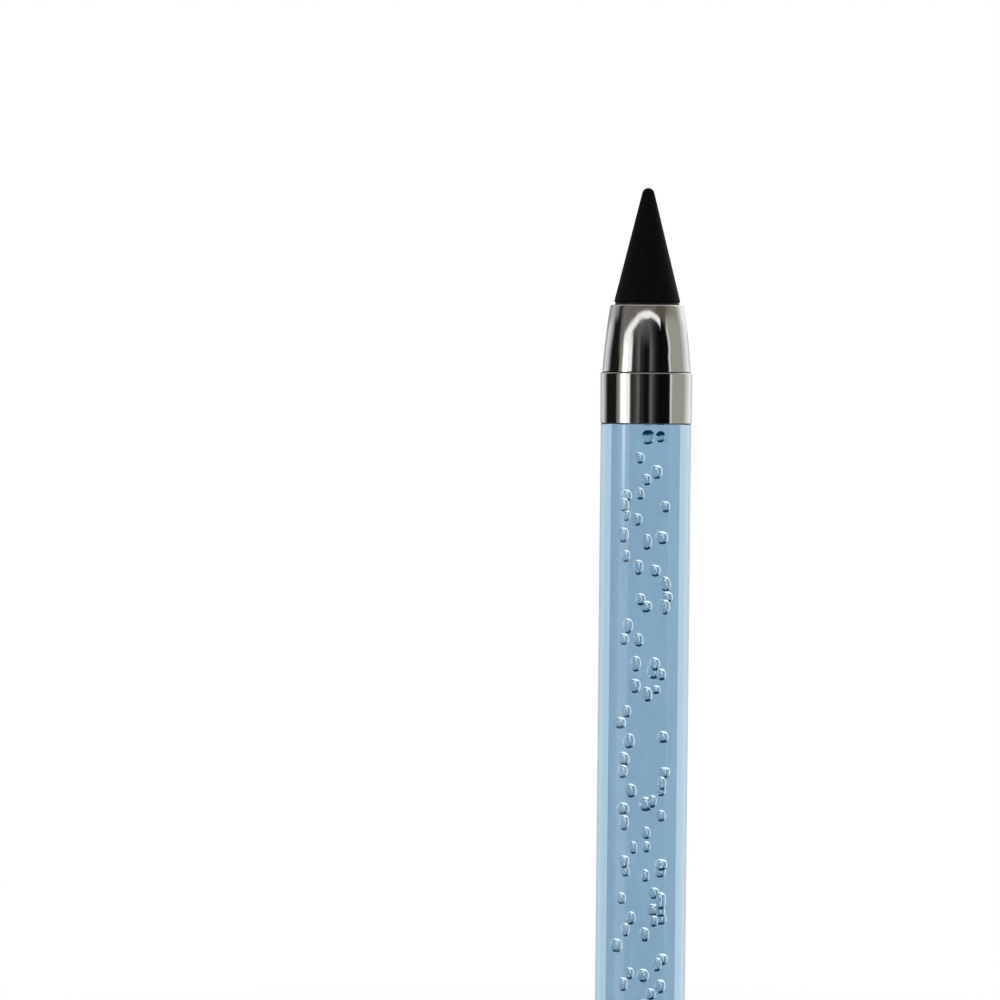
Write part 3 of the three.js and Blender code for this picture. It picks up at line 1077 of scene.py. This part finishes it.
# Bubbles seen in the barrel: height above the tail and offset from the axis, both in millimetres, and size
# against the mean. Offsets are the real ones, without the barrel's magnification.
SEEN_BUBBLES = (
    (119.8, 0.22, 1.0), (119.9, 1.27, 0.95), (117.3, -0.50, 1.0), (115.6, 0.88, 1.0), (114.7, 0.07, 0.9),
    (113.0, -0.48, 1.0), (112.7, -1.29, 1.0), (111.6, -1.77, 1.15), (110.3, -1.72, 0.75), (111.4, 1.65, 1.0),
    (109.8, -0.54, 1.05), (107.9, -1.58, 1.0), (107.2, 0.12, 1.25), (107.6, 1.27, 1.0), (105.4, -1.72, 1.0),
    (104.1, -0.65, 1.05), (103.6, 0.82, 1.0), (102.0, 1.65, 1.0), (100.4, 1.66, 0.95), (99.2, 1.67, 1.0),
    (100.2, -0.36, 1.0), (99.2, 0.22, 1.0), (96.9, -1.31, 1.0), (95.2, -1.46, 1.0), (95.2, -0.41, 1.0),
    (92.3, -0.63, 1.1), (92.3, 0.92, 1.0), (91.2, 0.76, 0.95), (91.1, 1.58, 1.0), (89.5, -0.52, 1.0),
    (88.7, 0.31, 1.0), (89.2, 1.05, 0.75), (83.4, 1.65, 1.05), (78.9, 1.60, 1.0), (77.8, 1.69, 0.95),
    (76.6, 1.37, 0.75), (75.7, 0.89, 1.0), (75.1, 0.33, 1.25), (73.8, 1.56, 1.0), (71.8, 0.35, 1.0),
    (70.2, 0.37, 1.0), (67.7, 1.52, 1.0), (66.7, 1.36, 0.75), (66.7, 0.30, 1.0), (64.2, 0.98, 1.0),
    (63.5, 1.72, 1.35), (62.1, 0.91, 1.0), (62.2, 1.57, 0.95), (61.0, 1.09, 1.0), (61.1, 1.50, 0.9),
    (59.5, 0.29, 1.05), (56.2, 1.77, 1.0), (55.7, 1.45, 0.95), (54.2, 0.24, 1.0), (52.9, 1.63, 1.0),
    (52.1, 0.90, 1.0),
)

# More of the same form, where the photograph doesn't show the left of the barrel
UNSEEN_BUBBLES = (
    (86.5, -1.35, 0.95), (85.0, -1.68, 1.0), (82.8, -0.92, 1.0), (80.7, -1.50, 1.05), (79.2, -1.76, 0.9),
    (76.8, -0.86, 1.0), (74.5, -1.28, 1.0), (73.0, -1.66, 1.1), (70.1, -0.90, 0.95), (68.2, -1.56, 1.0),
    (66.9, -1.22, 0.8), (63.7, -1.74, 1.05), (61.4, -0.95, 1.0), (59.9, -1.38, 0.95), (57.7, -1.72, 1.0),
    (54.7, -1.08, 1.05), (53.2, -1.52, 0.95),
)

# Heights in millimetres between which the rest of the barrel gets scattered bubbles
SCATTER_TOP = 50.6
SCATTER_FOOT = 12.5

# What a bubble keeps clear of the core's wall, how far apart two must be against their own size, and how many
# places are tried for that
BUBBLE_MARGIN = 0.06 * MM
BUBBLE_ROOM = 1.15
BUBBLE_TRIES = 40


def scattered_bubbles(chooser, top, foot):
    """Loose slanting chains of bubbles between two heights in millimetres."""
    made = []
    height = top
    side = 0.6
    while height > foot:
        side = max(-1.8, min(1.8, side + chooser.uniform(-0.9, 0.9)))
        for _ in range(chooser.choice((1, 2, 2, 3))):
            made.append((height, side, chooser.uniform(0.8, 1.15)))
            height -= chooser.uniform(1.0, 1.9)
            side = max(-1.9, min(1.9, side + chooser.choice((-0.8, 0.8)) * chooser.uniform(0.5, 1.2)))
        height -= chooser.uniform(0.8, 3.4)
    return made


def bubble_shell(width, height, chooser):
    """Vertices and faces of one closed bubble about its own centre, a little out of true."""
    rounds, levels = 24, 14
    lean = chooser.uniform(-0.12, 0.12)
    belly = chooser.uniform(-0.12, 0.12)
    spin = chooser.uniform(0, 2 * math.pi)
    squash = chooser.uniform(0.92, 1.08)
    vertices = [(0.0, 0.0, -height / 2)]
    for level in range(1, levels):
        tilt = math.pi * level / levels - math.pi / 2
        z = math.sin(tilt)
        reach = math.cos(tilt) ** 0.85 * (1 + belly * z)
        for index in range(rounds):
            angle = 2 * math.pi * index / rounds
            x = reach * math.cos(angle) * width / 2 + lean * z * width / 2
            y = reach * math.sin(angle) * width / 2 * squash
            vertices.append((
                x * math.cos(spin) - y * math.sin(spin),
                x * math.sin(spin) + y * math.cos(spin),
                z * height / 2))
    vertices.append((0.0, 0.0, height / 2))
    last = len(vertices) - 1
    faces = []
    for index in range(rounds):
        following = (index + 1) % rounds
        faces.append((0, 1 + following, 1 + index))
        for level in range(levels - 2):
            low = 1 + level * rounds
            high = low + rounds
            faces.append((low + index, low + following, high + following, high + index))
        high = 1 + (levels - 2) * rounds
        faces.append((high + index, high + following, last))
    return vertices, faces


class PENCIL_OT_air_bubbles(bpy.types.Operator):
    """Builds the air trapped in the core"""

    bl_idname = "pencil.air_bubbles"
    bl_label = "Air Bubbles"

    def execute(self, context):
        settings = context.scene.pencil_barrel
        chooser = random.Random(settings.bubble_seed)
        placed = []
        scattered = scattered_bubbles(chooser, SCATTER_TOP, SCATTER_FOOT)
        spots = [*SEEN_BUBBLES, *scattered, *UNSEEN_BUBBLES]
        vertices, faces = [], []
        for level, side, size in spots:
            width = settings.bubble_width * (0.55 + 0.45 * size) * chooser.uniform(0.9, 1.12)
            height = settings.bubble_height * size * chooser.uniform(0.84, 1.12)
            room = CORE_RADIUS - width * 0.6 - BUBBLE_MARGIN
            x = max(-room, min(room, side * MM))
            reach = math.sqrt(max(room * room - x * x, 0))
            depth = self.free_depth(placed, x, level * MM, width, height, reach, chooser)
            placed.append((x, depth, level * MM, width, height))
            shell, sides = bubble_shell(width, height, chooser)
            offset = len(vertices)
            vertices.extend((x + px, depth + py, level * MM + pz) for px, py, pz in shell)
            faces.extend(tuple(offset + corner for corner in face) for face in sides)
        piece = piece_from("air_bubbles", vertices, faces)
        dress(piece, "barrel", "tinted_resin", [], bubble_finish())
        return {"FINISHED"}

    @staticmethod
    def free_depth(placed, x, z, width, height, reach, chooser):
        """A depth in the core at which the bubble touches none of those already placed."""
        best, best_room = 0.0, -1.0
        for _ in range(BUBBLE_TRIES):
            y = chooser.uniform(-reach, reach)
            room = math.inf
            for px, py, pz, other_width, other_height in placed:
                across = math.hypot(x - px, y - py) / ((width + other_width) / 2)
                along = (z - pz) / ((height + other_height) / 2)
                room = min(room, math.hypot(across, along))
            if room > BUBBLE_ROOM:
                return y
            if room > best_room:
                best, best_room = y, room
        return best


# Stage


# Where the camera stands and how it is tilted, as fitted to the photograph
CAMERA_PLACE = (-17.66 * MM, -406.72 * MM, 127.61 * MM)
CAMERA_PITCH = math.radians(2.200)
CAMERA_ROLL = math.radians(0.508)

# The camera stands this many degrees to the left of the pencil's front, and the studio is set out from it
STUDIO_TURN = 2.5

# Places and sizes of the lamps and what they are aimed at, in metres
KEY_PLACE, KEY_SIZE = (-0.75, -0.75, 0.95), 0.4
FILL_PLACE, FILL_SIZE = (0.95, -0.35, 0.70), 0.8
LAMP_AIM = (0, 0, 0.07)

# The floor has this many corners at its rim, and as many in a ring this far out, in metres
FLOOR_CORNERS = 256
FLOOR_RING = 0.25

# The studio round the pencil as its polished metal shows it: stops of (compass angle, colour). The compass
# angle is 0 towards the camera and negative to its left.
OLIVE_WALL = (0.30, 0.305, 0.235)
BEIGE_WALL = (0.435, 0.43, 0.375)
WINDOW = (1.25, 1.25, 1.23)
WALLS = (
    (-180, grey(0.50)), (-162, grey(0.45)), (-146, grey(0.90)), (-130, grey(0.60)), (-119, grey(0.10)),
    (-114, grey(0.012)), (-83, grey(0.012)), (-77, OLIVE_WALL), (-71, OLIVE_WALL), (-68, WINDOW),
    (-44, WINDOW), (-40, (0.065, 0.052, 0.043)), (-33, (0.045, 0.035, 0.028)), (-27, grey(0.075)),
    (-20, (0.17, 0.17, 0.175)), (-15, (0.030, 0.030, 0.040)), (-8, (0.022, 0.022, 0.032)), (-4, grey(0.006)),
    (6, grey(0.010)), (9, grey(0.15)), (13, grey(0.14)), (18, grey(0.055)), (26, grey(0.012)),
    (35, grey(0.004)), (57, grey(0.006)), (61, grey(0.03)), (63, grey(0.85)), (66, grey(0.80)),
    (69, BEIGE_WALL), (108, BEIGE_WALL))
WALLS_BEHIND = (
    (108, BEIGE_WALL), (118, grey(0.66)), (140, grey(1.15)), (154, grey(0.90)), (164, grey(0.55)),
    (180, grey(0.50)))
CEILING = (
    (-180, grey(0.40)), (-150, grey(0.32)), (-132, grey(0.60)), (-118, grey(0.48)), (-104, grey(0.28)),
    (-100, grey(0.28)), (-94, grey(0.04)), (-86, grey(0.05)), (-79, grey(0.15)), (-72, (0.215, 0.21, 0.18)),
    (-45, (0.195, 0.18, 0.16)), (24, (0.20, 0.18, 0.155)), (32, (0.115, 0.105, 0.075)),
    (55, (0.125, 0.115, 0.085)), (69, (0.25, 0.24, 0.19)), (101, (0.37, 0.36, 0.305)), (110, grey(0.57)),
    (121, grey(0.92)), (134, grey(1.2)), (180, grey(0.9)))
GROUND = (
    (-180, grey(0.62)), (-112, grey(0.55)), (-92, grey(0.28)), (-70, grey(0.50)), (-50, grey(0.75)),
    (-28, grey(0.42)), (0, grey(0.50)), (40, grey(0.26)), (64, grey(0.40)), (90, grey(0.60)),
    (180, grey(0.62)))


def all_round(tree, compass, stops):
    """Colour at a compass angle from stops of (angle, colour)."""
    return tree.ramp(tree.scaled(compass, 1 / 360, 0.5), [
        ((angle + 180) / 360, colour) for angle, colour in stops])


def squared_share(tree, angle, whole):
    """The square of an angle's share of a whole one."""
    return tree.math("POWER", tree.math("ABSOLUTE", tree.math("DIVIDE", angle, whole)), 2.0)


def studio_light(tree, compass, climb):
    """Colour of the studio that polished surfaces show, from the compass and climb angles in degrees.

    The level is the climb as a wall that faces the camera would show it, so that upright edges stay upright
    on a leaning metal wall.
    """
    half = tree.math("COSINE", tree.math("RADIANS", tree.product(compass, 0.5)))
    level = tree.math("DIVIDE", climb, tree.largest(half, 0.15))

    # Edges on the right lean, and those on the left move inwards, higher up
    slant = tree.product(tree.largest(tree.math("SUBTRACT", level, 8.0), 0.0), 0.75)
    bulge = tree.product(tree.window(level, 12.2, 12.9, 2.5), 4.5)
    leant = tree.product(tree.math("SUBTRACT", slant, bulge), tree.rise(compass, 15.0, 40.0))
    near_left = tree.scaled(tree.rise(compass, -40.0, -25.0), -2.3, 2.3)
    far_left = tree.scaled(tree.rise(compass, -105.0, -85.0), -4.0, 4.0)
    higher_left = tree.product(far_left, tree.rise(level, 11.0, 15.5))
    moved = tree.math("ADD", tree.math("ADD", near_left, far_left), higher_left)
    slanted = tree.math(
        "SUBTRACT", tree.math("ADD", compass, leant), tree.product(moved, tree.rise(level, 3.0, 9.0)))
    walls = tree.blend(
        tree.rise(compass, 107.0, 109.0), all_round(tree, slanted, WALLS),
        all_round(tree, compass, WALLS_BEHIND))

    # Haze on the walls ahead, and the ceiling over them with a bright arch below its edge
    haze = tree.product(tree.rise(level, 11.0, 16.5), tree.window(compass, -36, 18, 16))
    inside = tree.blend(tree.rise(compass, 4.0, 22.0), grey(0.13), (0.022, 0.030, 0.030))
    hazy = tree.blend(haze, walls, inside)
    reach = tree.math("SQRT", tree.math(
        "ADD", squared_share(tree, compass, 95.0), squared_share(tree, level, 17.4)))
    beyond = tree.product(tree.rise(reach, 1.03, 1.10), tree.rise(level, 9.0, 12.0))
    edge = tree.largest(tree.rise(level, 17.9, 18.5), beyond)
    high = tree.blend(tree.window(compass, -80, 55, 8), tree.rise(level, 16.3, 18.7), edge)
    room = tree.blend(high, hazy, all_round(tree, compass, CEILING))
    thinner = tree.scaled(
        tree.rise(compass, 0.0, 14.0), 0.022, tree.scaled(tree.window(compass, -40, -24, 18), 0.016, 0.011))
    inner_edge = tree.rise(tree.math("SUBTRACT", reach, thinner), 0.945, 0.96)
    arch_band = tree.math("SUBTRACT", inner_edge, tree.rise(reach, 1.045, 1.06), clamp=True)
    arch = tree.product(tree.window(compass, -54, 38, 4.0), tree.rise(level, 12.0, 13.5), arch_band)
    arched = tree.blend(arch, room, WINDOW)
    topped = tree.blend(tree.rise(climb, 35.0, 65.0), arched, (0.45, 0.45, 0.44))

    # The brightest pane of the window, and the ground
    hot = tree.product(
        tree.rise(climb, -3.2, -1.0), tree.inverse(tree.rise(level, 9.0, 13.0)),
        tree.window(compass, -61, -55, 2.5))
    lit = tree.blend(hot, topped, grey(7.0))
    below = tree.rise(tree.product(climb, -1.0), 13.0, 32.0)
    return tree.blend(below, lit, all_round(tree, compass, GROUND))


def build_world(settings):
    """The studio round the pencil: white to the camera, banded to shiny surfaces, even to matt ones."""
    world = bpy.data.worlds.new("studio")
    bpy.context.scene.world = world
    world.use_nodes = True
    world.node_tree.nodes.clear()
    tree = Tree(world.node_tree)
    direction = tree.add("ShaderNodeTexCoord").outputs["Generated"]
    parts = tree.add("ShaderNodeSeparateXYZ", {0: direction}).outputs
    turned = tree.math("DEGREES", tree.math("ARCTAN2", parts[0], tree.product(parts[1], -1.0)))
    compass = tree.math("ADD", turned, STUDIO_TURN)
    climb = tree.math("DEGREES", tree.math("ARCSINE", parts[2]))
    path = tree.add("ShaderNodeLightPath").outputs
    even = tree.ramp(tree.scaled(climb, 1 / 180, 0.5), [
        (0.0, grey(0.5)), (0.5, grey(0.8)), (1.0, grey(1.0))])
    room = tree.add("ShaderNodeVectorMath", {0: even, "Scale": settings.ambient}, operation="SCALE")
    shiny = tree.blend(path["Is Glossy Ray"], room.outputs[0], studio_light(tree, compass, climb))
    bent = tree.blend(path["Is Transmission Ray"], shiny, grey(1.0))
    colour = tree.blend(path["Is Camera Ray"], bent, grey(1.0))
    background = tree.add("ShaderNodeBackground", {"Color": colour, "Strength": 1.0})
    output = tree.add("ShaderNodeOutputWorld")
    tree.put(output.inputs["Surface"], background.outputs[0])


def floor_finish(settings):
    """Pale floor that keeps the pencil's shadow near it and is plain white further off."""
    material, tree, output, place = new_finish("floor_finish")
    flat = tree.stretched(place, (1, 1, 0))
    away = tree.add("ShaderNodeVectorMath", {0: flat}, operation="LENGTH").outputs["Value"]
    clean = tuple(settings.floor_colour)
    colour = tree.blend(tree.noise(place, 60.0, 3.0), clean, times(0.985, clean))
    matt = tree.add("ShaderNodeBsdfDiffuse", {"Color": colour, "Roughness": 0.3})
    glow = tree.add("ShaderNodeEmission", {"Color": (1.0, 1.0, 1.0), "Strength": 1.0})
    path = tree.add("ShaderNodeLightPath").outputs
    seen = tree.largest(path["Is Camera Ray"], path["Is Transmission Ray"])
    share = tree.product(seen, tree.scaled(tree.rise(away, 0.10, 0.30), 0.8, 0.2))
    mixed_surface(tree, output, share, matt.outputs[0], glow.outputs[0])
    return material


def soft_lamp(name, power, size, place):
    """A square area lamp that lights without showing in reflections."""
    data = bpy.data.lights.new(name, "AREA")
    data.shape = "SQUARE"
    data.size = size
    data.energy = power
    lamp = bpy.data.objects.new(name, data)
    lamp.visible_glossy = False
    lamp.visible_transmission = False
    lamp.location = place
    lamp.rotation_euler = (Vector(LAMP_AIM) - Vector(place)).to_track_quat("-Z", "Y").to_euler()
    bpy.context.scene.collection.objects.link(lamp)


def build_camera(settings):
    """The camera at the photograph's place: eye level with the nose, pencil right of the middle."""
    data = bpy.data.cameras.new("camera")
    data.lens = settings.focal_length
    data.sensor_width = 36.0
    data.clip_start = 0.01
    data.clip_end = 20.0
    camera = bpy.data.objects.new("camera", data)
    camera.matrix_world = (
        Matrix.Translation(CAMERA_PLACE) @ Matrix.Rotation(math.pi / 2 - CAMERA_PITCH, 4, "X")
        @ Matrix.Rotation(CAMERA_ROLL, 4, "Z"))
    bpy.context.scene.collection.objects.link(camera)
    bpy.context.scene.camera = camera


class PENCIL_OT_stage(bpy.types.Operator):
    """Builds the floor, the studio light and the camera"""

    bl_idname = "pencil.stage"
    bl_label = "Stage"

    def execute(self, context):
        settings = context.scene.pencil_stage
        corners = FLOOR_CORNERS
        outer = ring_points([settings.floor_radius] * corners, 0.0)
        inner = ring_points([FLOOR_RING] * corners, 0.0)
        faces = []
        for index in range(corners):
            following = (index + 1) % corners
            faces.append((corners + index, index, following, corners + following))
            faces.append((2 * corners, corners + index, corners + following))
        floor = piece_from("floor", [*outer, *inner, (0.0, 0.0, 0.0)], faces)
        floor.data.materials.append(floor_finish(settings))
        floor.visible_glossy = False
        build_world(settings)
        soft_lamp("key_lamp", settings.key_power, KEY_SIZE, KEY_PLACE)
        soft_lamp("fill_lamp", settings.fill_power, FILL_SIZE, FILL_PLACE)
        build_camera(settings)
        context.scene.view_settings.view_transform = "Standard"
        return {"FINISHED"}


class PENCIL_PT_build(bpy.types.Panel):
    """Lists the pencil's pieces and their settings"""

    bl_label = "Inkless Pencil"
    bl_idname = "PENCIL_PT_build"
    bl_space_type = "VIEW_3D"
    bl_region_type = "UI"
    bl_category = "Inkless Pencil"

    def draw(self, context):
        scene = context.scene
        for title, settings, operators in GROUPS:
            box = self.layout.box()
            box.label(text=title)
            group = getattr(scene, settings)
            for key in group.__annotations__:
                box.prop(group, key)
            for operator in operators:
                box.operator(operator.bl_idname)


GROUPS = (
    ("Stage", "pencil_stage", (PENCIL_OT_stage,)),
    ("Nib", "pencil_nib", (PENCIL_OT_writing_cone, PENCIL_OT_nib_screw, PENCIL_OT_seal_washer)),
    ("Metal", "pencil_metal",
     (PENCIL_OT_nose_shell, PENCIL_OT_threaded_bush, PENCIL_OT_chrome_rings, PENCIL_OT_tail_cap)),
    ("Barrel", "pencil_barrel",
     (PENCIL_OT_clear_sleeve, PENCIL_OT_tinted_core, PENCIL_OT_air_bubbles)),
)

SETTINGS = {
    "pencil_stage": PencilStageSettings,
    "pencil_nib": PencilNibSettings,
    "pencil_metal": PencilMetalSettings,
    "pencil_barrel": PencilBarrelSettings,
}


def register():
    """Registers the settings, the operators and the panel."""
    for name, settings in SETTINGS.items():
        bpy.utils.register_class(settings)
        setattr(bpy.types.Scene, name, PointerProperty(type=settings))
    for _, _, operators in GROUPS:
        for operator in operators:
            bpy.utils.register_class(operator)
    bpy.utils.register_class(PENCIL_PT_build)


def unregister():
    """Takes back what register added."""
    bpy.utils.unregister_class(PENCIL_PT_build)
    for _, _, operators in reversed(GROUPS):
        for operator in reversed(operators):
            bpy.utils.unregister_class(operator)
    for name, settings in SETTINGS.items():
        delattr(bpy.types.Scene, name)
        bpy.utils.unregister_class(settings)


def main():
    """Builds every piece and the stage."""
    register()
    for _, _, operators in GROUPS:
        for operator in operators:
            family, name = operator.bl_idname.split(".")
            getattr(getattr(bpy.ops, family), name)()


if __name__ == "__main__":
    main()
